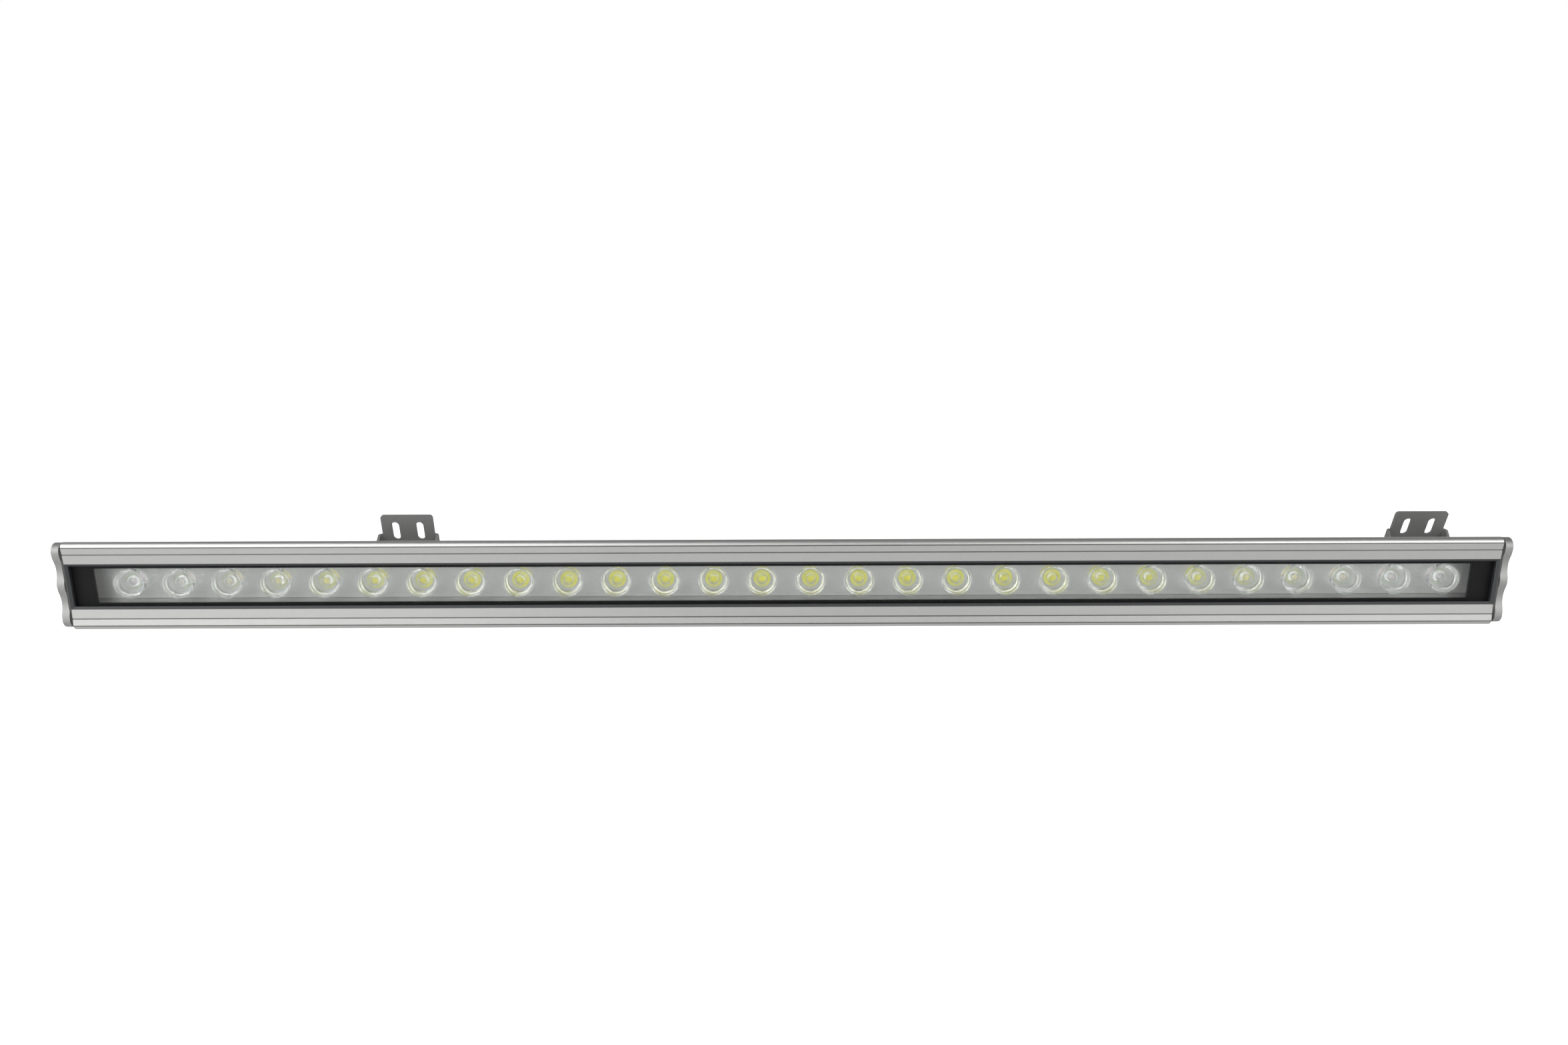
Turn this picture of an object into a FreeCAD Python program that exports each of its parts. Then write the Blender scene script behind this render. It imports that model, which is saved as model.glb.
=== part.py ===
"""Linear outdoor wall washer: an extruded LED housing on two sliding swivel brackets.

Frame: +X along the lamp, -Y the way the light leaves, +Z up. The origin is the middle of the
rear track, on the housing's rear face. A depth is measured back from the lips of the window.
"""
import FreeCAD, Part
import math
import os

import Sketcher

Vector = FreeCAD.Vector
Rotation = FreeCAD.Rotation

# name, millimetres (or degrees, or a count), meaning
SIZES = [
    # housing extrusion
    ("housing_length", 986, "extrusion, end to end"),
    ("housing_depth", 44, "lips of the window to the rear face"),
    ("face_height", 63, "over the two front corners"),
    ("face_crown", 1.0, "corner bands stand proud of the lips"),
    ("band_rise", 0.45, "flat bands slope forward to the inner groove"),
    ("corner_round", 3.7, "radius of the front corners"),
    ("side_angle", 16.5, "how much each side slopes inward, degrees"),
    ("rear_round", 1.5, "radius of the rear corners"),
    ("band_height", 15.1, "outer edge of the face to the lip of the window"),
    ("inner_groove_in", 8.35, "inner groove, from the outer edge of the face"),
    ("outer_groove_in", 3.3, "outer groove, from the outer edge of the face"),
    ("groove_width", 0.7, "decorative grooves"),
    ("groove_depth", 0.9, "decorative grooves"),
    ("wall", 1.8, "thinnest wall of the extrusion"),
    ("web_depth", 19.5, "floor of the light compartment"),
    ("web_thickness", 2.5, "floor of the light compartment"),
    ("fin_start", 14, "depth of the first cooling groove"),
    ("fin_pitch", 4.4, "cooling grooves"),
    ("fin_groove", 2.2, "width of a cooling groove"),
    ("fin_height", 2.5, "depth of a cooling groove"),
    ("fin_count", 6, "cooling grooves on each side"),
    ("side_hollow_depth", 8.5, "where the side hollows begin"),
    ("rib_inset", 2.5, "edge of the driver board to the middle of its rib"),
    ("rib_width", 2.0, "ribs under the driver board"),
    ("rib_height", 2.4, "ribs under the driver board"),
    # rear track
    ("track_opening", 6.4, "mouth of the rear track"),
    ("track_width", 10.4, "track behind its lips"),
    ("track_lip", 2.0, "thickness of the track's lips"),
    ("track_room", 4.5, "depth behind the lips"),
    ("track_floor", 2.0, "wall between track and driver chamber"),
    # window
    ("glass_sink", 1.15, "glass lies this far behind the lips"),
    ("glass_thickness", 4.0, "toughened glass"),
    ("glass_gap", 0.6, "sealant between glass and lips"),
    ("glass_ledge", 1.8, "ledge under the glass"),
    ("seal_overlap", 1.2, "sealant over the rim of the glass"),
    ("seal_lip", 0.15, "sealant left at the front edge of the lips"),
    ("mask_thickness", 0.2, "black mask behind the glass"),
    ("mask_border", 3.97, "edge of the glass to the clear view"),
    ("mask_end", 17, "end of the housing to the clear view"),
    # light engine
    ("board_thickness", 1.6, "aluminium LED board"),
    ("board_play", 0.2, "LED board to the sides of its compartment"),
    ("board_end", 8, "end of the housing to the LED board"),
    ("strip_thickness", 0.5, "thermal adhesive strip"),
    ("lens_count", 28, "lenses"),
    ("lens_sides", 12, "flats that stand for the round of a lens"),
    ("well_sides", 8, "flats that stand for the round of its hollow"),
    ("row_start", 30.25, "left end of the LED board to the first lens"),
    ("row_stop", 24.45, "last lens to the right end of the LED board"),
    ("lens_diameter", 21.7, "front rim of a lens"),
    ("lens_height", 11.9, "lens, board to front"),
    ("lens_neck_diameter", 10.4, "foot of a lens on the board"),
    ("lens_well_diameter", 6.4, "hollow over the LED"),
    ("lens_well_height", 5.0, "hollow over the LED"),
    ("chip_width", 3.5, "LED package"),
    ("chip_height", 0.8, "LED package"),
    ("phosphor_width", 2.4, "phosphor tile on the package"),
    ("phosphor_height", 0.6, "phosphor tile on the package"),
    # driver
    ("driver_end", 33, "left end of the housing to the driver board"),
    ("driver_length", 180, "driver board"),
    ("driver_height", 30, "driver board"),
    ("driver_thickness", 1.6, "driver board"),
    ("coil_length", 24, "transformer"),
    ("coil_width", 18, "transformer"),
    ("coil_room", 1.0, "transformer to the rear wall of the chamber"),
    ("capacitor_room", 1.5, "input capacitor, lying flat, to the rear wall"),
    ("capacitor_length", 20, "input capacitor"),
    ("terminal_length", 9, "supply terminals"),
    ("terminal_width", 15, "supply terminals"),
    ("terminal_room", 1.5, "supply terminals to the rear wall"),
    ("pin_width", 0.8, "pins from the driver to the LED board"),
    ("pin_pitch", 4, "pins from the driver to the LED board"),
    ("pin_play", 1.2, "slot in the web round those pins"),
    # end caps
    ("cap_thickness", 5.2, "die-cast end cap"),
    ("cap_corner", 6.0, "front corners of the cap"),
    ("cap_rear_corner", 3.5, "rear corners of the cap"),
    ("cap_rear_setback", 0.8, "cap inside the housing's rear face"),
    ("wave_middle", 0.4, "depth of the wave's middle line"),
    ("wave_rise", 1.3, "crest or trough from that line"),
    ("cap_shoulder", 1.0, "front corners of the cap inside the edge of the face"),
    ("centre_span", 4.7, "half of the middle crest"),
    ("gasket_thickness", 1.8, "rubber end gasket"),
    ("gasket_inset", 0.9, "gasket sides inside the housing's sides"),
    ("gasket_front", 0.35, "gasket behind the lips"),
    ("gasket_corner", 4.5, "front corners of the gasket"),
    ("screw_diameter", 3.2, "cap screws"),
    ("screw_head", 6, "cap screws, across the flats"),
    ("screw_head_height", 1.9, "cap screws"),
    ("screw_length", 16, "cap screws, below the head"),
    ("screw_fit", 0.05, "play round a screw in its port"),
    ("screw_play", 0.3, "play round a screw in cap and gasket"),
    ("port_depth", 18.9, "screw ports"),
    ("port_in", 11.1, "screw ports, from the outer edge of the face"),
    ("port_wall", 1.6, "metal round a screw port"),
    # cable gland
    ("gland_thread_diameter", 12, "gland thread"),
    ("gland_thread_short", 0.3, "end of the gland thread inside the gasket"),
    ("gland_hex", 15, "across the flats"),
    ("gland_hex_height", 3.5, "fixed hexagon"),
    ("gland_neck_diameter", 11, "threaded neck under the nut"),
    ("gland_core", 7.6, "bore through the body"),
    ("gland_nut_height", 8, "dome nut"),
    ("gland_nut_gap", 0.4, "nut to fixed hexagon"),
    ("gland_nut_mouth", 7.2, "mouth of the dome nut"),
    ("gland_nut_wall", 2.0, "end wall of the dome nut"),
    ("seal_bore", 6.5, "cable hole in the rubber seal"),
    ("seal_length", 4.0, "rubber seal between neck and nut"),
    # brackets
    ("left_end", 216, "left end of the housing to the left bracket"),
    ("right_end", 24, "right end of the housing to the right bracket"),
    ("left_tilt", 10, "lean of the left bracket, degrees"),
    ("right_tilt", 19, "lean of the right bracket, degrees"),
    ("sheet", 2.0, "steel sheet of clip and bracket"),
    ("bend", 1.0, "inside radius of a bend"),
    ("clip_width", 40.4, "clip over its ears"),
    ("clip_height", 22, "clip base along Z"),
    ("clip_bevel", 5, "corners of the clip's ears"),
    ("pivot_reach", 11, "rear face to the pivot"),
    ("ear_round", 8, "ends of the ears"),
    ("ear_play", 0.3, "between a clip ear and a bracket ear"),
    ("pivot_diameter", 6, "pivot bolts"),
    ("pivot_fit", 0.06, "play round a pivot bolt where the bracket turns"),
    ("thread_fit", 0.02, "play round a bolt in its tapped hole or nut"),
    ("head_play", 0.15, "pivot bolt head to the ear that turns"),
    ("bolt_head_height", 4.0, "M6 hexagon head"),
    ("hexagon", 10, "M6 hexagon across the flats"),
    ("nut_height", 5.0, "M6 nut"),
    ("thread_tail", 1.5, "bolt past its nut or tapped ear"),
    ("track_play", 0.1, "bolt head to the track's lips"),
    ("plate_back", 16, "pivot to the rear face of the plate"),
    ("plate_top", 31.8, "pivot to the top edge of the plate"),
    ("plate_bottom", 12.5, "pivot to the bottom edge of the plate"),
    ("ear_top", 16.5, "pivot to the top of the ears"),
    ("plate_width", 38.4, "tab with the slots"),
    ("plate_corner", 2.3, "top corners of the plate"),
    ("slot_width", 5.6, "fixing slots"),
    ("slot_length", 14, "fixing slots"),
    ("slot_pitch", 18, "slot to slot"),
    ("slot_margin", 5.4, "slots below the top edge"),
]


class Size:
    """A number and the formula that gives it from the spreadsheet."""

    def __init__(self, value, text):
        self.value = float(value)
        self.text = text

    def __add__(self, other):
        other = as_size(other)
        return Size(self.value + other.value, f"({self.text} + {other.text})")

    def __sub__(self, other):
        other = as_size(other)
        return Size(self.value - other.value, f"({self.text} - {other.text})")

    def __mul__(self, other):
        other = as_size(other)
        return Size(self.value * other.value, f"({self.text} * {other.text})")

    def __truediv__(self, other):
        other = as_size(other)
        return Size(self.value / other.value, f"({self.text} / {other.text})")

    def __radd__(self, other):
        return as_size(other) + self

    def __rsub__(self, other):
        return as_size(other) - self

    def __rmul__(self, other):
        return as_size(other) * self

    def __neg__(self):
        return Size(-self.value, f"(0 - {self.text})")


def as_size(number):
    return number if isinstance(number, Size) else Size(number, repr(number))


def cosine(angle):
    return Size(math.cos(math.radians(angle.value)), f"cos({angle.text})")


def sine(angle):
    return Size(math.sin(math.radians(angle.value)), f"sin({angle.text})")


def tangent(angle):
    return Size(math.tan(math.radians(angle.value)), f"tan({angle.text})")


class Names:
    """The driving sizes, each as an attribute."""


doc = FreeCAD.newDocument("wall_washer")
sheet = doc.addObject("Spreadsheet::Sheet", "Sizes")
d = Names()
for row, (alias, number, meaning) in enumerate(SIZES, start=1):
    sheet.set(f"A{row}", alias)
    sheet.set(f"B{row}", str(number))
    sheet.setAlias(f"B{row}", alias)
    sheet.set(f"C{row}", meaning)
    setattr(d, alias, Size(number, f"Sizes.{alias}"))
doc.recompute()

nodes = {}


# ---------------------------------------------------------------- general helpers
def depth(distance):
    """Y of a point that lies this far behind the lips of the window."""
    return distance - d.housing_depth


def keep(label, item):
    """Register an object as the sub-part of that name."""
    item.Label = label
    nodes[label] = item
    return item


def bind(item, **formulas):
    for name, size in formulas.items():
        item.setExpression(name, as_size(size).text)


def place(item, x=0, y=0, z=0, turn=None, tilt=None):
    """Put an object at (x, y, z); turn is a fixed rotation, tilt an angle about X."""
    if turn is not None:
        item.Placement = FreeCAD.Placement(Vector(), turn)
    if tilt is not None:
        item.Placement = FreeCAD.Placement(Vector(), Rotation(Vector(1, 0, 0), tilt.value))
        item.setExpression("Placement.Rotation.Angle", tilt.text)
    for axis, size in zip("xyz", (x, y, z)):
        item.setExpression(f"Placement.Base.{axis}", as_size(size).text)
    return item


def new_body(name):
    return doc.addObject("PartDesign::Body", name)


def new_sketch(body, role, height=None):
    """A sketch on one of the body's origin planes, raised along that plane's normal."""
    sketch = body.newObject("Sketcher::SketchObject", f"{body.Name}_sketch")
    plane = next(item for item in body.Origin.OriginFeatures if item.Role == role)
    sketch.AttachmentSupport = [(plane, "")]
    sketch.MapMode = "FlatFace"
    if height is not None:
        sketch.setExpression("AttachmentOffset.Base.z", as_size(height).text)
    return sketch


def pin_point(sketch, geometry, end, point):
    """Tie one end of a piece of geometry to its place from the sketch's origin."""
    for kind, size in zip(("DistanceX", "DistanceY"), point):
        size = as_size(size)
        index = sketch.addConstraint(
            Sketcher.Constraint(kind, -1, 1, geometry, end, size.value)
        )
        sketch.setExpression(f"Constraints[{index}]", size.text)


def arc_between(start, end, radius, side):
    """The short arc from start to end that turns to that side."""
    chord = end - start
    middle = (start + end) * 0.5
    left = Vector(-chord.y, chord.x, 0).normalize()
    reach = math.sqrt(max(radius**2 - (chord.Length / 2) ** 2, 0))
    centre = middle + left * (reach if side == "left" else -reach)
    first, last = (start, end) if side == "left" else (end, start)
    begin = math.atan2(first.y - centre.y, first.x - centre.x)
    finish = math.atan2(last.y - centre.y, last.x - centre.x)
    if finish < begin:
        finish += 2 * math.pi
    return Part.ArcOfCircle(Part.Circle(centre, Vector(0, 0, 1), radius), begin, finish)


def outline(sketch, corners):
    """Closed outline. A corner is (x, y), or (x, y, side, radius) where an arc follows it."""
    spots = [Vector(as_size(c[0]).value, as_size(c[1]).value, 0) for c in corners]
    first = sketch.GeometryCount
    ends = []
    for index, corner in enumerate(corners):
        start, end = spots[index], spots[(index + 1) % len(spots)]
        if len(corner) == 2:
            sketch.addGeometry(Part.LineSegment(start, end), False)
            ends.append((1, 2))
        else:
            side, radius = corner[2], corner[3]
            sketch.addGeometry(arc_between(start, end, radius.value, side), False)
            ends.append((1, 2) if side == "left" else (2, 1))
            number = sketch.addConstraint(
                Sketcher.Constraint("Radius", first + index, radius.value)
            )
            sketch.setExpression(f"Constraints[{number}]", radius.text)
    for index, corner in enumerate(corners):
        following = (index + 1) % len(corners)
        sketch.addConstraint(
            Sketcher.Constraint(
                "Coincident", first + index, ends[index][1], first + following, ends[following][0]
            )
        )
        pin_point(sketch, first + index, ends[index][0], corner[:2])


def circle(sketch, x, y, radius):
    centre = Vector(as_size(x).value, as_size(y).value, 0)
    number = sketch.addGeometry(Part.Circle(centre, Vector(0, 0, 1), radius.value), False)
    index = sketch.addConstraint(Sketcher.Constraint("Radius", number, radius.value))
    sketch.setExpression(f"Constraints[{index}]", radius.text)
    pin_point(sketch, number, 3, (x, y))


def rectangle(sketch, low_x, low_y, high_x, high_y):
    outline(sketch, [(low_x, low_y), (high_x, low_y), (high_x, high_y), (low_x, high_y)])


def mirrored(half, middle=None):
    """A whole outline from its upper half, front to rear; middle is the arc that closes it."""
    upper = [tuple(corner) for corner in half]
    lower = []
    for index in range(len(half) - 1, -1, -1):
        y, z = half[index][:2]
        arc = half[index - 1][2:] if index else (middle or ())
        lower.append((y, -z) + tuple(arc))
    return upper + lower


def pad(body, sketch, length, side="One side", reverse=False):
    feature = body.newObject("PartDesign::Pad", f"{body.Name}_pad")
    feature.Profile = sketch
    feature.SideType = side
    feature.Reversed = reverse
    bind(feature, Length=length)
    return feature


def cut_through(body, sketch):
    feature = body.newObject("PartDesign::Pocket", f"{body.Name}_pocket")
    feature.Profile = sketch
    feature.SideType = "Symmetric"
    feature.Type = "ThroughAll"
    return feature


def pocket(body, sketch, length, reverse=False):
    feature = body.newObject("PartDesign::Pocket", f"{body.Name}_pocket")
    feature.Profile = sketch
    feature.Reversed = reverse
    bind(feature, Length=length)
    return feature


def revolve(body, sketch, axis):
    feature = body.newObject("PartDesign::Revolution", f"{body.Name}_revolution")
    feature.Profile = sketch
    feature.ReferenceAxis = (sketch, [axis])
    feature.Angle = 360
    return feature


def edge_names(feature, wanted):
    doc.recompute()
    edges = enumerate(feature.Shape.Edges, start=1)
    return [f"Edge{number}" for number, edge in edges if wanted(edge)]


def round_edges(body, feature, wanted, radius):
    """Fillet every edge of the feature for which wanted(edge) holds."""
    names = edge_names(feature, wanted)
    fillet = body.newObject("PartDesign::Fillet", f"{body.Name}_fillet")
    fillet.Base = (feature, names)
    bind(fillet, Radius=radius)
    return fillet


def bevel_edges(body, feature, wanted, width):
    """Chamfer every edge of the feature for which wanted(edge) holds."""
    names = edge_names(feature, wanted)
    chamfer = body.newObject("PartDesign::Chamfer", f"{body.Name}_chamfer")
    chamfer.Base = (feature, names)
    bind(chamfer, Size=width)
    return chamfer


def near(number, target):
    return abs(number - as_size(target).value) < 1e-6


def along(edge, axis):
    """Whether an edge is straight and runs along that axis (0, 1 or 2)."""
    if edge.Curve.TypeId != "Part::GeomLine":
        return False
    return abs(edge.tangentAt(edge.FirstParameter)[axis]) > 0.999


def copies(label, masters, spots):
    """One node that holds a copy of each master at each of the given placements."""
    links = []
    for number, spot in enumerate(spots, start=1):
        for master in masters:
            link = doc.addObject("App::Link", f"{label}_{master.Name}_{number}")
            link.LinkedObject = master
            place(link, **spot)
            links.append(link)
    group = doc.addObject("Part::Compound", f"{label}_group")
    group.Links = links
    return keep(label, group)


def cylinder(name, radius, height, **spot):
    item = doc.addObject("Part::Cylinder", name)
    bind(item, Radius=radius, Height=height)
    return place(item, **spot)


def prism(name, across_flats, height, **spot):
    item = doc.addObject("Part::Prism", name)
    item.Polygon = 6
    bind(item, Circumradius=across_flats / 3**0.5, Height=height)
    return place(item, **spot)


def fuse(name, pieces):
    item = doc.addObject("Part::MultiFuse", name)
    item.Shapes = pieces
    return item


def cut(name, base, tool):
    item = doc.addObject("Part::Cut", name)
    item.Base = base
    item.Tool = tool
    return item


# ---------------------------------------------------------------- shared places
corner_depth = d.corner_round - d.face_crown
half_face = d.face_height / 2
corner_at = half_face - d.corner_round
slope = tangent(d.side_angle)


def side_at(distance, inset=0):
    """Z of the sloping side at that depth, or of a line parallel to it and further in."""
    start = corner_at + (d.corner_round - inset) / cosine(d.side_angle)
    return start - (distance - corner_depth) * slope


half_housing = d.housing_length / 2
half_window = half_face - d.band_height
half_glass = half_window - d.glass_gap
half_compartment = half_glass - d.glass_ledge
inner_groove_at = half_face - d.inner_groove_in
outer_groove_at = half_face - d.outer_groove_in
glass_back = d.glass_sink + d.glass_thickness
board_front = d.web_depth - d.strip_thickness - d.board_thickness
web_back = d.web_depth + d.web_thickness
track_bottom = d.track_lip + d.track_room
chamber_back = d.housing_depth - track_bottom - d.track_floor
gland_depth = (web_back + chamber_back) / 2
driver_front = web_back + d.rib_height
driver_back = driver_front + d.driver_thickness
driver_room = chamber_back - driver_back
rib_at = d.driver_height / 2 - d.rib_inset
board_length = d.housing_length - d.board_end * 2
half_board = half_compartment - d.board_play
lens_pitch = (board_length - d.row_start - d.row_stop) / (d.lens_count - 1)
driver_low = d.driver_end - half_housing
driver_at = driver_low + d.driver_length / 2
port_room = d.screw_diameter / 2 + d.port_wall
port_at = half_face - d.port_in
ports = [(d.port_depth, port_at), (d.port_depth, -port_at)]
pins_at = driver_low + d.driver_length - d.pin_pitch
wave_half_span = (half_face - d.cap_shoulder - d.cap_corner - d.centre_span) / 3


def pin_slot(sketch):
    """The slot through which the driver's pins reach the LED board."""
    half = d.pin_width / 2 + d.pin_play
    rise = half + d.pin_pitch / 2
    rectangle(sketch, pins_at - half, -rise, pins_at + half, rise)


# ---------------------------------------------------------------- housing
def groove_corners(middle, surface):
    """The four corners of a decorative groove that is cut back into the face."""
    near, far = middle - d.groove_width / 2, middle + d.groove_width / 2
    bottom = surface + d.groove_depth
    return [(depth(p), z) for p, z in ((surface, near), (bottom, near), (bottom, far), (surface, far))]


def corner_front(z):
    """Depth of the front corner's arc at that Z."""
    drop = math.sqrt(d.corner_round.value**2 - (z - corner_at).value ** 2)
    text = f"sqrt({d.corner_round.text}^2 - {(z - corner_at).text}^2)"
    return corner_depth - Size(drop, text)


def housing_half():
    """Upper half of the extrusion's outline, from the compartment floor to the rear track."""
    corners = [
        (depth(d.web_depth), half_compartment),
        (depth(glass_back), half_compartment),
        (depth(glass_back), half_window),
        (depth(0), half_window),
    ]
    corners += groove_corners(inner_groove_at, -d.band_rise)
    near, far = outer_groove_at - d.groove_width / 2, outer_groove_at + d.groove_width / 2
    corners += [
        (depth(-d.face_crown), corner_at, "right", d.corner_round),
        (depth(corner_front(near)), near),
        (depth(corner_front(near) + d.groove_depth), near),
        (depth(corner_front(near) + d.groove_depth), far),
        (depth(corner_front(far)), far, "right", d.corner_round),
        (
            depth(corner_depth + d.corner_round * sine(d.side_angle)),
            corner_at + d.corner_round * cosine(d.side_angle),
        ),
    ]
    for number in range(int(d.fin_count.value)):
        start = d.fin_start + d.fin_pitch * number
        end = start + d.fin_groove
        corners += [
            (depth(start), side_at(start)),
            (depth(start), side_at(start) - d.fin_height),
            (depth(end), side_at(end) - d.fin_height),
            (depth(end), side_at(end)),
        ]
    mouth, room = d.track_opening / 2, d.track_width / 2
    corners += [
        (as_size(0), side_at(d.housing_depth)),
        (as_size(0), mouth),
        (-d.track_lip, mouth),
        (-d.track_lip, room),
        (-track_bottom, room),
    ]
    return corners


def chamber_half(inner):
    """Upper half of the driver chamber, with a rib in front and the rear track behind."""
    near, far = web_back, d.housing_depth - d.wall
    rib, track = rib_at + d.rib_width / 2, d.track_width / 2 + d.wall
    return [
        (depth(near), rib - d.rib_width),
        (depth(driver_front), rib - d.rib_width),
        (depth(driver_front), rib),
        (depth(near), rib),
        (depth(near), side_at(near) - inner),
        (depth(far), side_at(far) - inner),
        (depth(far), track),
        (depth(chamber_back), track),
    ]


def build_housing():
    body = new_body("housing")
    profile = new_sketch(body, "YZ_Plane")
    outline(profile, mirrored(housing_half()))
    inner = d.fin_height + d.wall
    outline(profile, mirrored(chamber_half(inner)))
    low = half_compartment + d.wall
    near, far = d.side_hollow_depth, d.port_depth - port_room
    for sign in (1, -1):
        corners = [(near, low), (near, side_at(near) - inner), (far, side_at(far) - inner), (far, low)]
        outline(profile, [(depth(y), z * sign) for y, z in corners])
    for y, z in ports:
        circle(profile, depth(y), z, d.screw_diameter / 2 + d.screw_fit)
    bar = pad(body, profile, d.housing_length, side="Symmetric")
    rear = side_at(d.housing_depth).value

    def rear_corner(edge):
        middle = edge.CenterOfMass
        return along(edge, 0) and abs(middle.y) < 1e-6 and abs(abs(middle.z) - rear) < 1e-6

    round_edges(body, bar, rear_corner, d.rear_round)
    slot = new_sketch(body, "XZ_Plane", d.housing_depth - web_back)
    pin_slot(slot)
    pocket(body, slot, d.web_thickness, reverse=True)
    keep("housing", body)


# ---------------------------------------------------------------- window
def plate(name, back, thickness, length, height):
    """A flat plate that lies across the light's path, from its rear face forward."""
    body = new_body(name)
    sketch = new_sketch(body, "XZ_Plane", -depth(back))
    rectangle(sketch, -length / 2, -height / 2, length / 2, height / 2)
    pad(body, sketch, thickness)
    return keep(name, body)


def build_window():
    glass_length = d.housing_length - d.glass_gap * 2
    plate("front_glass", glass_back, d.glass_thickness, glass_length, half_glass * 2)

    mask = new_body("window_mask")
    sketch = new_sketch(mask, "XZ_Plane", -depth(glass_back + d.mask_thickness))
    half_length = half_housing - d.glass_gap
    rectangle(sketch, -half_length, -half_compartment, half_length, half_compartment)
    half_view = half_housing - d.mask_end
    half_open = half_glass - d.mask_border
    rectangle(sketch, -half_view, -half_open, half_view, half_open)
    pad(mask, sketch, d.mask_thickness)
    keep("window_mask", mask)

    seal = new_body("glass_seal")
    sketch = new_sketch(seal, "XZ_Plane", -depth(glass_back))
    rectangle(sketch, -half_housing, -half_window, half_housing, half_window)
    rectangle(sketch, -glass_length / 2, -half_glass, glass_length / 2, half_glass)
    pad(seal, sketch, d.glass_thickness)
    lid = new_sketch(seal, "XZ_Plane", -depth(d.glass_sink))
    rectangle(lid, -half_housing, -half_window, half_housing, half_window)
    pad(seal, lid, d.glass_sink)
    cuts = []
    for back, reach in ((d.glass_sink, d.seal_overlap + d.glass_gap), (as_size(0), d.seal_lip)):
        ring = new_sketch(seal, "XZ_Plane", -depth(back))
        x, z = half_housing - reach, half_window - reach
        rectangle(ring, -x, -z, x, z)
        cuts.append(ring)
    throat = seal.newObject("PartDesign::SubtractiveLoft", "glass_seal_throat")
    throat.Profile = cuts[0]
    throat.Sections = [cuts[1]]
    keep("glass_seal", seal)


# ---------------------------------------------------------------- light engine
def in_row(body, feature, sketch):
    """Repeat a feature along X, once for each lens."""
    pattern = body.newObject("PartDesign::LinearPattern", f"{body.Name}_row")
    pattern.Originals = [feature]
    pattern.Direction = (sketch, ["H_Axis"])
    bind(pattern, Length=lens_pitch * (d.lens_count - 1), Occurrences=d.lens_count)
    body.Tip = pattern


def first_lens():
    return d.row_start - board_length / 2


def build_lenses():
    """Reflector lenses: a cone that opens forward, with a hollow over the LED."""
    forward = Rotation(Vector(1, 0, 0), 90)
    ends = []
    for name, diameter, height in (
        ("lens_front", d.lens_diameter, d.lens_height),
        ("lens_back", d.lens_neck_diameter, 0),
    ):
        ring = doc.addObject("Part::RegularPolygon", name)
        bind(ring, Polygon=d.lens_sides, Circumradius=diameter / 2)
        ends.append(place(ring, y=-as_size(height), turn=forward))
    cone = doc.addObject("Part::Loft", "lens_cone")
    cone.Sections = ends
    cone.Solid = True
    cone.Ruled = True
    well = prism("lens_well", d.lens_well_diameter, d.lens_well_height, turn=forward)
    bind(well, Polygon=d.well_sides, Circumradius=d.lens_well_diameter / 2)
    lens = cut("lens", cone, well)
    spots = [
        {"x": first_lens() + lens_pitch * number, "y": depth(board_front)}
        for number in range(int(d.lens_count.value))
    ]
    copies("lenses", [lens], spots)


def square_row(name, width, height, distance):
    """A row of small square tiles, one behind each lens, that stand forward from a depth."""
    body = new_body(name)
    sketch = new_sketch(body, "XZ_Plane")
    half = width / 2
    rectangle(sketch, -half, -half, half, half)
    in_row(body, pad(body, sketch, height), sketch)
    place(body, x=first_lens(), y=depth(distance))
    keep(name, body)


def build_light_engine():
    back = d.web_depth - d.strip_thickness
    plate("led_board", back, d.board_thickness, board_length, half_board * 2)
    strip = new_body("thermal_strip")
    sketch = new_sketch(strip, "XZ_Plane", -depth(d.web_depth))
    x, z = board_length / 2, half_board
    rectangle(sketch, -x, -z, x, z)
    pin_slot(sketch)
    pad(strip, sketch, d.strip_thickness)
    keep("thermal_strip", strip)
    square_row("led_chips", d.chip_width, d.chip_height, board_front)
    square_row("led_domes", d.phosphor_width, d.phosphor_height, board_front - d.chip_height)
    build_lenses()


# ---------------------------------------------------------------- driver
def on_driver(name, low_x, high_x, width, room):
    """A block on the back of the driver board that leaves this room to the chamber's rear wall."""
    height = driver_room - room
    body = new_body(name)
    sketch = new_sketch(body, "XZ_Plane", -depth(driver_back + height))
    rectangle(sketch, low_x, -width / 2, high_x, width / 2)
    pad(body, sketch, height)
    return keep(name, body)


def build_driver():
    half_height = d.driver_height / 2
    can_radius = (driver_room - d.capacitor_room) / 2
    low, high = driver_low, driver_low + d.driver_length
    board = new_body("driver_board")
    sketch = new_sketch(board, "XZ_Plane", -depth(driver_back))
    rectangle(sketch, low, -half_height, high, half_height)
    pad(board, sketch, d.driver_thickness)
    keep("driver_board", board)

    half_coil = d.coil_length / 2
    on_driver(
        "driver_coil", driver_at - half_coil, driver_at + half_coil, d.coil_width, d.coil_room
    )
    on_driver("driver_terminals", low, low + d.terminal_length, d.terminal_width, d.terminal_room)
    can = cylinder("capacitor", can_radius, d.capacitor_length)
    copies(
        "driver_capacitor",
        [can],
        [
            {
                "x": driver_at - half_coil - d.capacitor_length * 1.5,
                "y": depth(driver_back + can_radius),
                "turn": Rotation(Vector(0, 1, 0), 90),
            }
        ],
    )

    pins = new_body("led_pins")
    sketch = new_sketch(pins, "XZ_Plane", -depth(driver_front))
    half = d.pin_width / 2
    for sign in (1, -1):
        middle = d.pin_pitch / 2 * sign
        rectangle(sketch, pins_at - half, middle - half, pins_at + half, middle + half)
    pad(pins, sketch, d.rib_height + d.web_thickness + d.strip_thickness)
    keep("led_pins", pins)


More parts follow.
